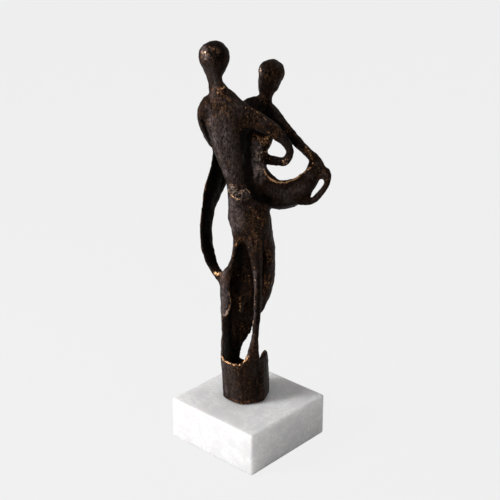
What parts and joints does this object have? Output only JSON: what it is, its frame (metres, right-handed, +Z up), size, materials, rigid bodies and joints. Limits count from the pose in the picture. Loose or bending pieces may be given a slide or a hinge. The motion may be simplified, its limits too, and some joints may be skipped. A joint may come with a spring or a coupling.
{
  "type": "bronze couple sculpture",
  "caption": "Slender embracing couple cast as one dark bronze, with a hollow robe and a torn-rimmed stump foot, standing on a square white marble block.",
  "frame": {"origin": "centre of the marble block's underside", "axes": "+Z up; X and Y run along the block's sides, and the man's back faces the corner between +X and -Y"},
  "size_m": [0.09, 0.0968, 0.3376],
  "materials": {
    "dark_bronze": "dark brown patina, worn to copper on the ridges",
    "white_marble": "honed white marble with faint grey clouding"
  },
  "bodies": {
    "root": {"bronze_couple": "dark_bronze", "marble_block": "white_marble"}
  },
  "joints": []
}
